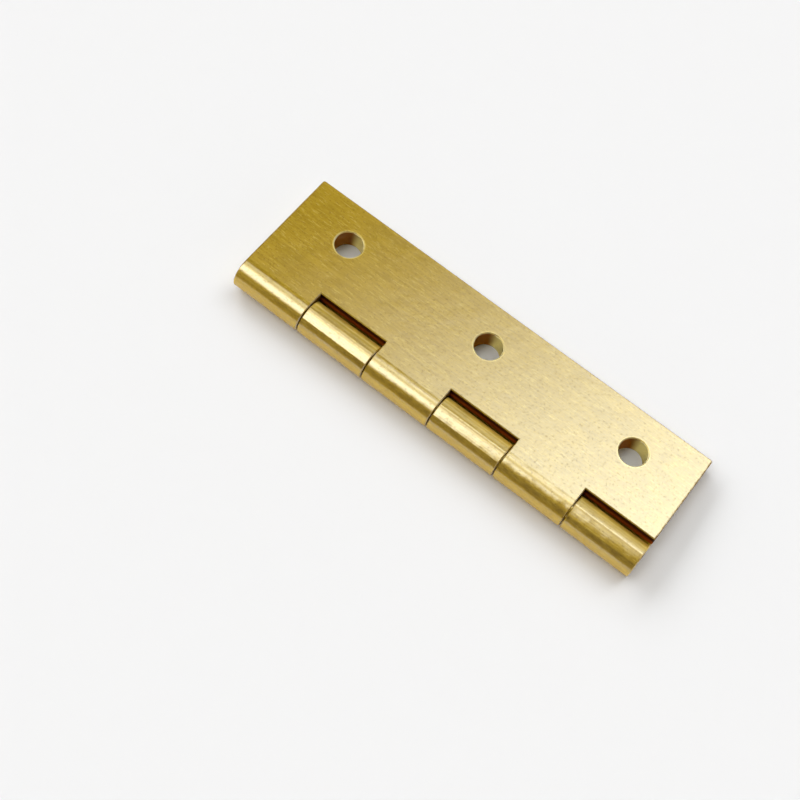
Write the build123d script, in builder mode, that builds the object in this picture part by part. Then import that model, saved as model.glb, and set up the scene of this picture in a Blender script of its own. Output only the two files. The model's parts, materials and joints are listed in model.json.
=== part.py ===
"""Square corner butt hinge of solid drawn brass, closed, lying on its lower leaf.

The two leaves are the same piece, one of them turned over end for end. Each is a drawn strip
whose flat outer face runs on into a round barrel. The barrel is notched into knuckles, which mesh
with the knuckles of the other leaf on one plain pin. The pin is pressed into the lower leaf, and
the upper leaf turns on it. The barrel is thicker than two leaves, so the closed leaves lean
together and meet at their outer edges.

X runs along the barrel, Y from the barrel to the outer edge of the lower leaf, and Z up. The
origin is the centre of the lower leaf's row of screw holes, on the face that lies on the frame.
"""

import os
from math import atan2, degrees, radians, tan

from build123d import *

# Leaves, in millimetres
hinge_length = 50.0
half_width = 13.1  # from the pin's axis to the outer edge of a leaf
leaf_thickness = 1.2
corner_radius = 0.25
edge_break = 0.1
closing_gap = 0.04  # between the outer edges of the closed leaves

# Barrel and pin
barrel_diameter = 3.8
knuckle_count = 6
knuckle_gap = 0.1  # between neighbouring knuckles, along the pin
notch_clearance = 0.15  # between a knuckle and the bottom of its notch
root_fillet = 0.5  # where the barrel grows out of the inner face
pin_diameter = 1.8
pin_press = 0.01  # how far the pin is over its bore in the lower leaf, on the radius
pin_clearance = 0.04  # how far the upper leaf's bore is over the pin, on the radius
pin_end_depth = 0.1  # how far each end of the pin lies inside the barrel
pin_end_chamfer = 0.2

# Screw holes, countersunk from the inner face
screw_hole_count = 3
screw_hole_diameter = 3.1
screw_hole_end_inset = 6.85  # from the end of the leaf
screw_hole_edge_inset = 4.55  # from the outer edge of the leaf
screw_hole_land = 0.25  # the straight wall that the countersink leaves at the outer face
screw_hole_edge_break = 0.1
countersink_angle = 90.0

# Sizes that follow
barrel_radius = barrel_diameter / 2
pin_radius = pin_diameter / 2
screw_hole_radius = screw_hole_diameter / 2
knuckle_pitch = hinge_length / knuckle_count
notch_length = knuckle_pitch + knuckle_gap
notch_depth = barrel_radius + notch_clearance  # from the pin's axis
inner_face_drop = barrel_radius - leaf_thickness  # from the pin's axis
screw_hole_line = half_width - screw_hole_edge_inset  # from the pin's axis
screw_hole_spacing = (hinge_length - 2 * screw_hole_end_inset) / (screw_hole_count - 1)
countersink_depth = leaf_thickness - screw_hole_land
countersink_radius = screw_hole_radius + countersink_depth * tan(radians(countersink_angle / 2))
closing_angle = 2 * degrees(atan2(inner_face_drop - closing_gap / 2, half_width))

# Each leaf has a frame of its own: the origin on the pin's axis at mid length, X along the pin,
# Y to the outer edge, and Z from the outer face to the inner face.
pin_centre = Vector(0, -screw_hole_line, barrel_radius)
lower_frame = Plane(origin=pin_centre, x_dir=(1, 0, 0), z_dir=(0, 0, 1))
turned_over = Plane(origin=pin_centre, x_dir=(-1, 0, 0), z_dir=(0, 0, -1))
upper_frame = turned_over.rotated((-closing_angle, 0, 0))

# Places along the barrel are counted from the end at -X. The lower leaf has notches at the first,
# third and fifth place, and the upper leaf, which counts from its other end, at the rest.
lower_notches = range(0, knuckle_count, 2)
upper_notches = [knuckle_count - 1 - place for place in range(1, knuckle_count, 2)]


def placed(frame, plane):
    """A plane given in a leaf's own frame, where that leaf lies in the hinge."""
    return Plane(frame.location * plane.location)


def make_leaf(frame, notches, bore_radius, label):
    """One leaf with its knuckles, its pin bore and its countersunk screw holes."""
    along = Axis(frame.origin, frame.x_dir)
    across = Axis(frame.origin, frame.y_dir)
    through = Axis(frame.origin, frame.z_dir)
    near_end = placed(frame, Plane.YZ.offset(-hinge_length / 2))
    far_end = placed(frame, Plane.YZ.offset(hinge_length / 2))
    outer_face = placed(frame, Plane.XY.offset(-barrel_radius))
    screw_row = placed(frame, Plane((0, screw_hole_line, -inner_face_drop)))

    with BuildPart() as leaf:
        # The drawn strip: a round barrel, with the leaf's outer face as its tangent.
        with BuildSketch(near_end) as section:
            Circle(barrel_radius)
            with Locations((0, -barrel_radius)):
                Rectangle(half_width, leaf_thickness, align=(Align.MIN, Align.MIN))
            roots = section.vertices().sort_by_distance((barrel_radius, -inner_face_drop, 0))
            fillet(roots[0], root_fillet)
        extrude(amount=hinge_length)

        # Notches, where the other leaf's knuckles turn.
        with BuildSketch(outer_face):
            for place in notches:
                middle = (place + 0.5) * knuckle_pitch - hinge_length / 2
                with Locations((middle, notch_depth)):
                    Rectangle(notch_length, 2 * notch_depth, align=(Align.CENTER, Align.MAX))
        extrude(amount=barrel_diameter, mode=Mode.SUBTRACT)

        # Square corners, a little eased.
        uprights = leaf.edges().filter_by(through).group_by(across)
        fillet(uprights[-1], corner_radius)

        # The pin bore and the screw holes.
        with Locations(far_end):
            Hole(bore_radius)
        with Locations(screw_row):
            with GridLocations(screw_hole_spacing, 1, screw_hole_count, 1):
                CounterSinkHole(
                    screw_hole_radius,
                    countersink_radius,
                    counter_sink_angle=countersink_angle,
                )

        # Broken edges: round the screw holes, then round the outer face, the inner face and the
        # knuckles' ends. The lines where the faces run on into the barrel stay as they are.
        outer_flat = leaf.faces().filter_by(through).sort_by(through)[0]
        hole_rims = outer_flat.edges().filter_by(lambda edge: edge.is_closed)
        chamfer(hole_rims, screw_hole_edge_break)
        flats = leaf.faces().filter_by(through).sort_by(through)
        rims = []
        for flat in (flats[0], flats[-1]):
            outline = flat.outer_wire().edges()
            barrel_side = outline.filter_by(along).group_by(across)[0]
            rims += [edge for edge in outline if edge not in barrel_side]
        chamfer(rims, edge_break)
    leaf.part.label = label
    return leaf.part


def make_pin():
    """The plain pin, a little shorter than the barrel, with its ends chamfered."""
    length = hinge_length - 2 * pin_end_depth
    with BuildPart() as pin:
        with BuildSketch(placed(lower_frame, Plane.YZ.offset(-length / 2))):
            Circle(pin_radius)
        extrude(amount=length)
        chamfer(pin.edges().filter_by(GeomType.CIRCLE), pin_end_chamfer)
    pin.part.label = "hinge_pin"
    return pin.part


lower_leaf = make_leaf(lower_frame, lower_notches, pin_radius - pin_press, "lower_leaf")
upper_leaf = make_leaf(upper_frame, upper_notches, pin_radius + pin_clearance, "upper_leaf")
hinge_pin = make_pin()

os.makedirs("parts", exist_ok=True)
for piece in (lower_leaf, upper_leaf, hinge_pin):
    export_step(piece, f"parts/{piece.label}.step")
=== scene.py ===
import json
from math import radians

import bpy
from mathutils import Matrix, Vector

# Looks of the square corner butt hinge: brass for the leaves and the pin, a pale floor,
# soft light from above and the camera of the photograph. Objects are placed in metres.
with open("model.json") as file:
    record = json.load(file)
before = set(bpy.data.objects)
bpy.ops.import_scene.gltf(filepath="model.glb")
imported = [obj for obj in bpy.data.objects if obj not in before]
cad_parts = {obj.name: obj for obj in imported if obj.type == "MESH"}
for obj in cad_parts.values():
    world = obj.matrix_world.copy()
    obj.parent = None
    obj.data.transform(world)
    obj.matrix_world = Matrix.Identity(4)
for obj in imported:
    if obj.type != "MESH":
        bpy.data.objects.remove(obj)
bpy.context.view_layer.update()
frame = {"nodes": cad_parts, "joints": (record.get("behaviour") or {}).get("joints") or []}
scene = bpy.context.scene

# Sizes of the hinge that the brass follows, in millimetres and degrees. They are counted from
# the middle of the pin, with the leaf turned level.
MM_PER_M = 1000
PIN_CENTRE = Vector(frame["joints"][0]["pos_m"]) * MM_PER_M
CLOSED_LEAN = 5.943
BARREL_RADIUS = 1.9
EDGE_BREAK = 0.1
NOTCH_DEPTH = 2.05
HALF_WIDTH = 13.1
HALF_LENGTH = 25.0
SCREW_LINE = 8.55
SCREW_SPACING = 18.15
SCREW_RADIUS = 1.55
COUNTERSINK_RADIUS = 2.5

# The slight flat on the lower leaf's knuckles: the way it faces, 14 degrees to the front of
# straight up, and its distance from the pin's axis.
FLAT_FACING = (0, -0.242, 0.970)
FLAT_DISTANCE = 1.785

# Colours of the brass: the bare metal in its deep and light places, then what lies over it.
LEAF_DEEP = (0.378, 0.239, 0.011, 1)
LEAF_LIGHT = (0.478, 0.317, 0.022, 1)
PIN_DEEP = (0.44, 0.30, 0.017, 1)
PIN_LIGHT = (0.55, 0.385, 0.022, 1)
SCRATCH_COLOUR = (0.89, 0.71, 0.18, 1)
PIT_COLOUR = (0.24, 0.145, 0.011, 1)
# Painted highlight on the ring round each screw hole.
RIM_HIGHLIGHT_COLOUR = (0.89, 0.69, 0.11, 1)
GLINT_COLOUR = (1.0, 0.92, 0.55, 1)
# Painted reflection of the floor on the barrel's low side.
LOW_REFLECTION_COLOUR = (0.86, 0.57, 0.022, 1)
# Painted reflection on the lower leaf's knuckles beside the notches.
NOTCH_SIDE_REFLECTION_COLOUR = (1.0, 0.73, 0.165, 1)
# The screw holes' walls: painted light on one side, painted shade on the other.
BORE_PAINTED_LIGHT = (1.0, 0.88, 0.42, 1)
BORE_PAINTED_SHADE = (0.29, 0.10, 0.009, 1)
# The notches' back walls: painted reflection deep down, painted shade near the outer face.
NOTCH_REFLECTION_COLOUR = (0.44, 0.10, 0.011, 1)
NOTCH_SHADE_COLOUR = (0.033, 0.003, 0.001, 1)
# Painted shade along the flat beside the barrel, the leaf's outer edge and its sheared ends.
EDGE_SHADE_COLOUR = (0.24, 0.13, 0.011, 1)

# How rough the metal is under its glossy coat.
LEAF_ROUGHNESS = 0.52
PIN_ROUGHNESS = 0.56

# Heights of the relief, in millimetres. Of two values, the second is the barrel's.
LINE_HEIGHT = 0.0028
GRAIN_HEIGHTS = (0.0030, 0.0050)
WAVE_HEIGHTS = (0.006, 0.028)
RING_HEIGHT = 0.03

# Nearly along X and along Z, turned a little so that no face is square to them.
BRUSHED_WAY = (1, 0.01, 0.02)
HOLE_WAY = (0.01, 0.02, 1)

# Floor and light.
FLOOR_HALF = 3.0
FLOOR_COLOUR = (0.825, 0.825, 0.965, 1)
PANEL_COLOUR = (0.96, 1, 0.895, 1)
WALL_COLOUR = (1, 0.78, 0.40, 1)
HORIZON_COLOUR = (1, 0.95, 0.86, 1)
LOWEST_CEILING = 0.05

# The light panels, on a ceiling at height 1. Each edge is given by the two places between which
# the light fades, and the lean is how far the panel goes to +X for each step to +Y.
PANELS = (
    {
        "left": (-0.53, -0.37),
        "right": (-0.11, 0.07),
        "front": (-1.00, -0.40),
        "back": (-0.20, 0.32),
        "lean": 0.25,
        "strength": 3.55,
    },
    {
        "left": (-0.70, -0.25),
        "right": (0.00, 0.35),
        "front": (0.05, 0.55),
        "back": (1.00, 1.60),
        "lean": 0.50,
        "strength": 3.8,
    },
    {
        "left": (-0.60, -0.25),
        "right": (0.60, 1.00),
        "front": (0.75, 1.25),
        "back": (2.40, 3.40),
        "lean": 0.00,
        "strength": 0.68,
    },
    {
        "left": (-2.60, -1.80),
        "right": (-1.00, -0.70),
        "front": (-0.90, -0.30),
        "back": (1.20, 2.20),
        "lean": 0.00,
        "strength": 4.2,
    },
)

# The camera: its place, and the ways in which its back and its top point.
CAMERA_PLACE = (0.023462, -0.063693, 0.153353)
CAMERA_BACK = (0.16635, -0.33008, 0.92918)
CAMERA_UP = (-0.58878, 0.72264, 0.36211)
CAMERA_LENS = 72.63
CAMERA_SENSOR = 36.0


class Tree:
    """Makes and links the nodes of one node tree."""

    def __init__(self, owner):
        owner.use_nodes = True
        self.tree = owner.node_tree
        self.tree.nodes.clear()

    def add(self, kind, inputs=None, **settings):
        """Adds a node; an input is a value, or the output of another node."""
        made = self.tree.nodes.new(kind)
        for name, value in settings.items():
            setattr(made, name, value)
        for name, value in (inputs or {}).items():
            socket = made.inputs[name]
            if isinstance(value, bpy.types.NodeSocket):
                self.tree.links.new(value, socket)
            else:
                socket.default_value = value
        return made

    def split(self, vector):
        """The X, Y and Z of a vector."""
        return self.add("ShaderNodeSeparateXYZ", {0: vector}).outputs

    def math(self, operation, *values):
        """One math node, with the values as its inputs in turn."""
        return self.add("ShaderNodeMath", dict(enumerate(values)), operation=operation).outputs[0]

    def chain(self, operation, first, *others):
        """Applies one operation from value to value."""
        for other in others:
            first = self.math(operation, first, other)
        return first

    def total(self, *values):
        return self.chain("ADD", *values)

    def product(self, *values):
        return self.chain("MULTIPLY", *values)

    def largest(self, *values):
        return self.chain("MAXIMUM", *values)

    def fade(self, value, low, high, at_low=0.0, at_high=1.0):
        """Goes smoothly from at_low, where value is low, to at_high, where it is high."""
        ranges = {
            "Value": value,
            "From Min": low,
            "From Max": high,
            "To Min": at_low,
            "To Max": at_high,
        }
        made = self.add("ShaderNodeMapRange", ranges, interpolation_type="SMOOTHSTEP")
        return made.outputs["Result"]

    def fade_out(self, value, low, high):
        """Goes smoothly from 1, where value is low, to 0, where it is high."""
        return self.fade(value, low, high, at_low=1.0, at_high=0.0)

    def mix(self, factor, first, second):
        """Mixes two colours, which are inputs 6 and 7 of the node, and output 2."""
        made = self.add("ShaderNodeMix", {0: factor, 6: first, 7: second}, data_type="RGBA")
        return made.outputs[2]

    def mix_vectors(self, factor, first, second):
        """Mixes two vectors, which are inputs 4 and 5 of the node, and output 1."""
        made = self.add("ShaderNodeMix", {0: factor, 4: first, 5: second}, data_type="VECTOR")
        return made.outputs[1]


class Brass(Tree):
    """Drawn brass, brushed along X, with its patterns in millimetres."""

    def __init__(self, material, lean):
        """The lean turns the leaf level, with the middle of the pin at zero."""
        super().__init__(material)
        texture = self.add("ShaderNodeTexCoord").outputs
        self.normal = texture["Normal"]
        self.facing = self.split(self.normal)
        level = Matrix.Rotation(radians(lean), 3, "X")
        self.coords = self.add("ShaderNodeMapping", {
            "Vector": texture["Object"],
            "Location": level @ -PIN_CENTRE,
            "Rotation": (radians(lean), 0, 0),
            "Scale": (MM_PER_M, MM_PER_M, MM_PER_M),
        }).outputs[0]
        self.place = self.split(self.coords)
        self.depth = self.math("ABSOLUTE", self.place["Z"])
        self.make_patterns()
        self.find_screw_holes()
        self.find_barrel()
        self.find_edge_shade()

    def noise(self, scale, detail, stretch=(1, 1, 1), roughness=0.5):
        """A cloudy pattern; a small stretch along an axis draws it out that way."""
        mapping = self.add("ShaderNodeMapping", {"Vector": self.coords, "Scale": stretch})
        inputs = {
            "Vector": mapping.outputs[0],
            "Scale": scale,
            "Detail": detail,
            "Roughness": roughness,
        }
        return self.add("ShaderNodeTexNoise", inputs).outputs["Fac"]

    def make_patterns(self):
        """Makes the patterns that the colour, the roughness and the relief share."""
        self.lines = self.noise(1.0, 3.0, stretch=(0.35, 3.6, 3.6), roughness=0.65)
        self.long_lines = self.noise(1.0, 2.0, stretch=(0.06, 1.6, 1.6))
        self.grain = self.noise(3.4, 3.0, stretch=(0.6, 1, 1), roughness=0.6)
        self.mottling = self.noise(0.45, 3.0)
        self.waves = self.noise(0.55, 1.0)
        self.scratches = self.noise(1.0, 2.0, stretch=(1.3, 6.5, 6.5))
        self.rings = self.noise(1.0, 2.0, stretch=(0.4, 0.4, 6.0))
        self.pits = self.fade(self.noise(4.2, 1.0), 0.59, 0.68)

    def find_screw_holes(self):
        """Finds the walls of the screw holes, their side with painted shade, their rims with a
        painted highlight and the painted glint on these.
        """
        column = self.math("WRAP", self.place["X"], SCREW_SPACING / 2, -SCREW_SPACING / 2)
        row = self.math("SUBTRACT", self.place["Y"], SCREW_LINE)
        from_hole = self.add("ShaderNodeCombineXYZ", {"X": column, "Y": row}).outputs[0]
        length = self.add("ShaderNodeVectorMath", {0: from_hole}, operation="LENGTH")
        reach = length.outputs["Value"]

        wall_end = BARREL_RADIUS - EDGE_BREAK
        self.wall = self.product(
            self.fade_out(reach, COUNTERSINK_RADIUS, COUNTERSINK_RADIUS + 0.03),
            self.fade_out(self.depth, wall_end - 0.02, wall_end + 0.02),
        )
        # The side of each hole's wall that gets painted shade; the rest of the wall gets painted
        # light.
        self.painted_shade_side = self.product(
            self.fade(self.facing["X"], -0.05, 0.35),
            self.fade_out(self.facing["Y"], -0.1, 0.3),
        )
        # A painted highlight on the ring round each hole, mottled by the grain.
        self.rim_highlight = self.product(
            self.fade_out(reach, SCREW_RADIUS + 0.05, SCREW_RADIUS + 0.30),
            self.fade(self.grain, 0.4, 0.6, at_low=0.1, at_high=0.5),
        )
        self.glint = self.product(
            self.fade_out(reach, SCREW_RADIUS + 0.08, SCREW_RADIUS + 0.20),
            self.fade(row, -1.2, 1.2, at_low=0.6, at_high=0.2),
        )

    def find_barrel(self):
        """Finds the barrel's round side, its low part, which gets a painted reflection of the floor,
        and the back walls of the notches.
        """
        self.barrel = self.product(
            self.fade_out(self.place["Y"], 0.0, 0.5),
            self.fade_out(self.math("ABSOLUTE", self.facing["X"]), 0.3, 0.6),
        )
        # The barrel's low part gets a painted reflection of the floor and a thinner coat.
        self.low = self.product(self.barrel, self.fade_out(self.place["Z"], 0.6, 1.6))
        from_notch = self.math("ABSOLUTE", self.math("SUBTRACT", self.place["Y"], NOTCH_DEPTH))
        self.notch = self.product(
            self.fade_out(from_notch, 0.02, 0.05),
            self.fade_out(self.facing["Y"], -0.95, -0.8),
        )

    def find_edge_shade(self):
        """Finds the painted shade lines of the outer face: beside the barrel and along the leaf's
        edges.
        """
        beside_barrel = self.fade(
            self.math("ABSOLUTE", self.place["Y"]), 0.03, 0.11, at_low=0.35, at_high=0.0
        )
        outer_edge = self.fade(
            self.place["Y"], HALF_WIDTH - 0.14, HALF_WIDTH - 0.08, at_low=0.0, at_high=0.8
        )
        sheared_ends = self.product(
            self.fade(
                self.math("ABSOLUTE", self.place["X"]), HALF_LENGTH - 0.20, HALF_LENGTH - 0.14
            ),
            self.fade(self.grain, 0.4, 0.6, at_low=0.3, at_high=0.9),
        )
        near_face = self.fade(self.depth, BARREL_RADIUS - 0.2, BARREL_RADIUS - 0.1)
        # All three lines are painted shade; on the sheared ends it is mottled by the grain.
        self.edge_shade = self.product(
            self.largest(beside_barrel, outer_edge, sheared_ends), near_face
        )

    def colour(self, deep, light, pressed):
        """The metal's own shades, with the colours of wear (scratches and pits), and painted
        highlights, reflections and shade at the rims, barrel, knuckles, holes, notches and edges,
        laid over them.
        """
        shade = self.total(
            self.product(self.lines, 0.40),
            self.product(self.long_lines, 0.15),
            self.product(self.grain, 0.30),
            self.product(self.mottling, 0.15),
        )
        # A painted reflection on the lower leaf's knuckles beside the notches.
        notch_side_reflection = self.product(
            self.fade(self.place["Y"], 0.3, 1.3, at_low=0.0, at_high=0.75 * pressed),
            self.fade(self.place["Z"], 0.0, 0.5),
        )
        # Painted light on one side of each bore's wall and painted shade on the other, chosen by the
        # way the wall faces.
        bore_light_and_shade = self.mix(self.painted_shade_side, BORE_PAINTED_LIGHT, BORE_PAINTED_SHADE)
        # A painted reflection deep in the notches' back walls, turning to painted shade near the
        # outer face.
        notch_shade_and_reflection = self.mix(self.fade(self.depth, 0.9, 1.4), NOTCH_REFLECTION_COLOUR, NOTCH_SHADE_COLOUR)
        layers = (
            (self.fade(self.scratches, 0.54, 0.72, at_low=0.0, at_high=0.22), SCRATCH_COLOUR),
            (self.product(self.pits, 0.55), PIT_COLOUR),
            (self.rim_highlight, RIM_HIGHLIGHT_COLOUR),
            (self.glint, GLINT_COLOUR),
            # painted reflection of the floor on the barrel's low part
            (self.product(self.low, 0.5), LOW_REFLECTION_COLOUR),
            (notch_side_reflection, NOTCH_SIDE_REFLECTION_COLOUR),
            (self.wall, bore_light_and_shade),
            (self.notch, notch_shade_and_reflection),
            (self.edge_shade, EDGE_SHADE_COLOUR),
        )
        colour = self.mix(self.fade(shade, 0.40, 0.60), deep, light)
        for cover, layer_colour in layers:
            colour = self.mix(cover, colour, layer_colour)
        return colour

    def roughness(self, average):
        """Varies with the mottling and the grain. Hole walls and the barrel are smoother."""
        varied = self.total(
            self.fade(self.mottling, 0.3, 0.7, at_low=-0.05, at_high=0.05),
            average,
            self.fade(self.grain, 0.3, 0.7, at_low=-0.06, at_high=0.06),
        )
        smoother = self.product(self.largest(self.wall, self.barrel), 0.12)
        return self.math("SUBTRACT", varied, smoother)

    def relief(self, pressed):
        """Brushed lines, grain, a slow waviness, the drill's rings and the knuckles' flats."""
        height = self.total(
            self.product(self.lines, LINE_HEIGHT),
            self.product(self.grain, self.on_barrel(*GRAIN_HEIGHTS)),
            self.product(self.waves, self.on_barrel(*WAVE_HEIGHTS)),
            self.product(self.rings, self.wall, RING_HEIGHT),
        )
        inputs = {0: self.coords, 1: FLAT_FACING}
        distance = self.add("ShaderNodeVectorMath", inputs, operation="DOT_PRODUCT")
        above_flat = self.math("SUBTRACT", distance.outputs["Value"], FLAT_DISTANCE)
        proud = self.math("SMOOTH_MAX", above_flat, 0.0, 0.03)
        flat = self.product(proud, self.on_barrel(0.0, 0.5 * pressed))
        height = self.math("SUBTRACT", height, flat)
        bump = self.add("ShaderNodeBump", {
            "Strength": 1.0,
            "Distance": 1 / MM_PER_M,
            "Height": height,
        })
        return bump.outputs[0]

    def on_barrel(self, elsewhere, there):
        """A strength that differs between the barrel and the rest."""
        return self.fade(self.barrel, 0.0, 1.0, at_low=elsewhere, at_high=there)

    def tangent(self):
        """The gloss spreads across the brushed lines, and along the axis of a hole."""
        inputs = {0: self.normal, 1: BRUSHED_WAY}
        across = self.add("ShaderNodeVectorMath", inputs, operation="CROSS_PRODUCT")
        spread = self.mix_vectors(self.wall, across.outputs[0], HOLE_WAY)
        turned = self.add(
            "ShaderNodeVectorTransform",
            {0: spread},
            vector_type="VECTOR",
            convert_from="OBJECT",
            convert_to="WORLD",
        )
        return turned.outputs[0]

    def coat(self):
        """The glossy coat is thin on the side of the bores with painted shade, in notches and pits,
        low down and under the painted shade of the edges.
        """
        bare = self.largest(
            self.product(self.wall, self.painted_shade_side),
            self.notch,
            self.product(self.low, 0.6),
            self.product(self.pits, 0.45),
            self.product(self.edge_shade, 0.9),
        )
        return self.fade(bare, 0.0, 1.0, at_low=1.0, at_high=0.15)


def make_brass(name, lean, deep, light, roughness, pressed=0.0):
    """The material of one piece, which leans by so many degrees.

    Where pressed is 1, the tops of the knuckles are slightly flat, and carry a painted reflection
    beside the notches.
    """
    material = bpy.data.materials.new(name)
    brass = Brass(material, lean)
    relief = brass.relief(pressed)
    shader = brass.add("ShaderNodeBsdfPrincipled", {
        "Base Color": brass.colour(deep, light, pressed),
        "Metallic": 1.0,
        "Roughness": brass.roughness(roughness),
        "Anisotropic": 0.5,
        "Coat Weight": brass.coat(),
        "Coat IOR": 2.54,
        "Coat Roughness": 0.09,
        "Normal": relief,
        "Coat Normal": relief,
        "Tangent": brass.tangent(),
    })
    brass.add("ShaderNodeOutputMaterial", {"Surface": shader.outputs[0]})
    return material


def dress_hinge():
    """Gives each piece its brass."""
    looks = {
        "lower_leaf": make_brass(
            "lower_leaf_look", 0.0, LEAF_DEEP, LEAF_LIGHT, LEAF_ROUGHNESS, pressed=1.0
        ),
        "upper_leaf": make_brass(
            "upper_leaf_look", CLOSED_LEAN, LEAF_DEEP, LEAF_LIGHT, LEAF_ROUGHNESS
        ),
        "hinge_pin": make_brass("pin_look", 0.0, PIN_DEEP, PIN_LIGHT, PIN_ROUGHNESS),
    }
    for piece, look in looks.items():
        frame["nodes"][piece].material_slots[0].material = look


def make_floor():
    """The plain pale sheet that the hinge lies on."""
    mesh = bpy.data.meshes.new("floor")
    corners = [
        (-FLOOR_HALF, -FLOOR_HALF, 0),
        (FLOOR_HALF, -FLOOR_HALF, 0),
        (FLOOR_HALF, FLOOR_HALF, 0),
        (-FLOOR_HALF, FLOOR_HALF, 0),
    ]
    mesh.from_pydata(corners, [], [(0, 1, 2, 3)])
    floor = bpy.data.objects.new("floor", mesh)
    scene.collection.objects.link(floor)
    material = bpy.data.materials.new("floor")
    tree = Tree(material)
    shader = tree.add("ShaderNodeBsdfPrincipled", {
        "Base Color": FLOOR_COLOUR,
        "Roughness": 0.9,
        "Specular IOR Level": 0.0,
    })
    tree.add("ShaderNodeOutputMaterial", {"Surface": shader.outputs[0]})
    mesh.materials.append(material)


def make_panel(tree, aside, along, panel):
    """The strength of one panel, by the place where a ray meets the ceiling."""
    across = tree.math("SUBTRACT", aside, tree.product(along, panel["lean"]))
    return tree.product(
        tree.product(tree.fade(across, *panel["left"]), tree.fade_out(across, *panel["right"])),
        tree.product(tree.fade(along, *panel["front"]), tree.fade_out(along, *panel["back"])),
        panel["strength"],
    )


def make_light():
    """A dim room, pale at the horizon, with soft light panels overhead."""
    world = bpy.data.worlds.new("studio")
    scene.world = world
    tree = Tree(world)
    direction = tree.add("ShaderNodeTexCoord").outputs["Generated"]
    axes = tree.split(direction)

    # Where a ray in this direction meets the ceiling.
    height = tree.largest(axes["Z"], LOWEST_CEILING)
    aside = tree.math("DIVIDE", axes["X"], height)
    along = tree.math("DIVIDE", axes["Y"], height)
    panels = tree.total(0.0, *[make_panel(tree, aside, along, panel) for panel in PANELS])

    # The walls are brightest to the front, and the pale horizon lies lowest there.
    walls = tree.fade(axes["Y"], -0.3, 0.5, at_low=0.23, at_high=0.07)
    horizon_height = tree.fade(axes["Y"], -0.95, -0.6, at_low=-0.05, at_high=0.16)
    above_horizon = tree.math("SUBTRACT", axes["Z"], horizon_height)
    sides = tree.product(
        tree.fade(tree.math("ABSOLUTE", axes["X"]), 0.30, 0.65, at_low=0.0, at_high=0.50),
        tree.fade_out(axes["Z"], 0.30, 0.65),
    )
    horizon = tree.largest(
        tree.fade(above_horizon, 0.0, 0.1, at_low=0.54, at_high=0.0), sides
    )

    glows = ((PANEL_COLOUR, panels), (WALL_COLOUR, walls), (HORIZON_COLOUR, horizon))
    parts = []
    for colour, strength in glows:
        part = tree.add("ShaderNodeBackground", {"Color": colour, "Strength": strength})
        parts.append(part.outputs[0])
    near = tree.add("ShaderNodeAddShader", {0: parts[0], 1: parts[1]})
    whole = tree.add("ShaderNodeAddShader", {0: near.outputs[0], 1: parts[2]})
    tree.add("ShaderNodeOutputWorld", {"Surface": whole.outputs[0]})


def make_camera():
    """The camera of the photograph, from its place and its directions."""
    data = bpy.data.cameras.new("camera")
    data.lens = CAMERA_LENS
    data.sensor_width = CAMERA_SENSOR
    data.clip_start = 0.01
    data.clip_end = 20.0
    camera = bpy.data.objects.new("camera", data)
    scene.collection.objects.link(camera)
    back = Vector(CAMERA_BACK).normalized()
    up = Vector(CAMERA_UP).normalized()
    right = up.cross(back).normalized()
    turn = Matrix((right, back.cross(right), back)).transposed()
    camera.matrix_world = Matrix.Translation(CAMERA_PLACE) @ turn.to_4x4()
    scene.camera = camera


dress_hinge()
make_floor()
make_light()
make_camera()
scene.view_settings.view_transform = "Standard"
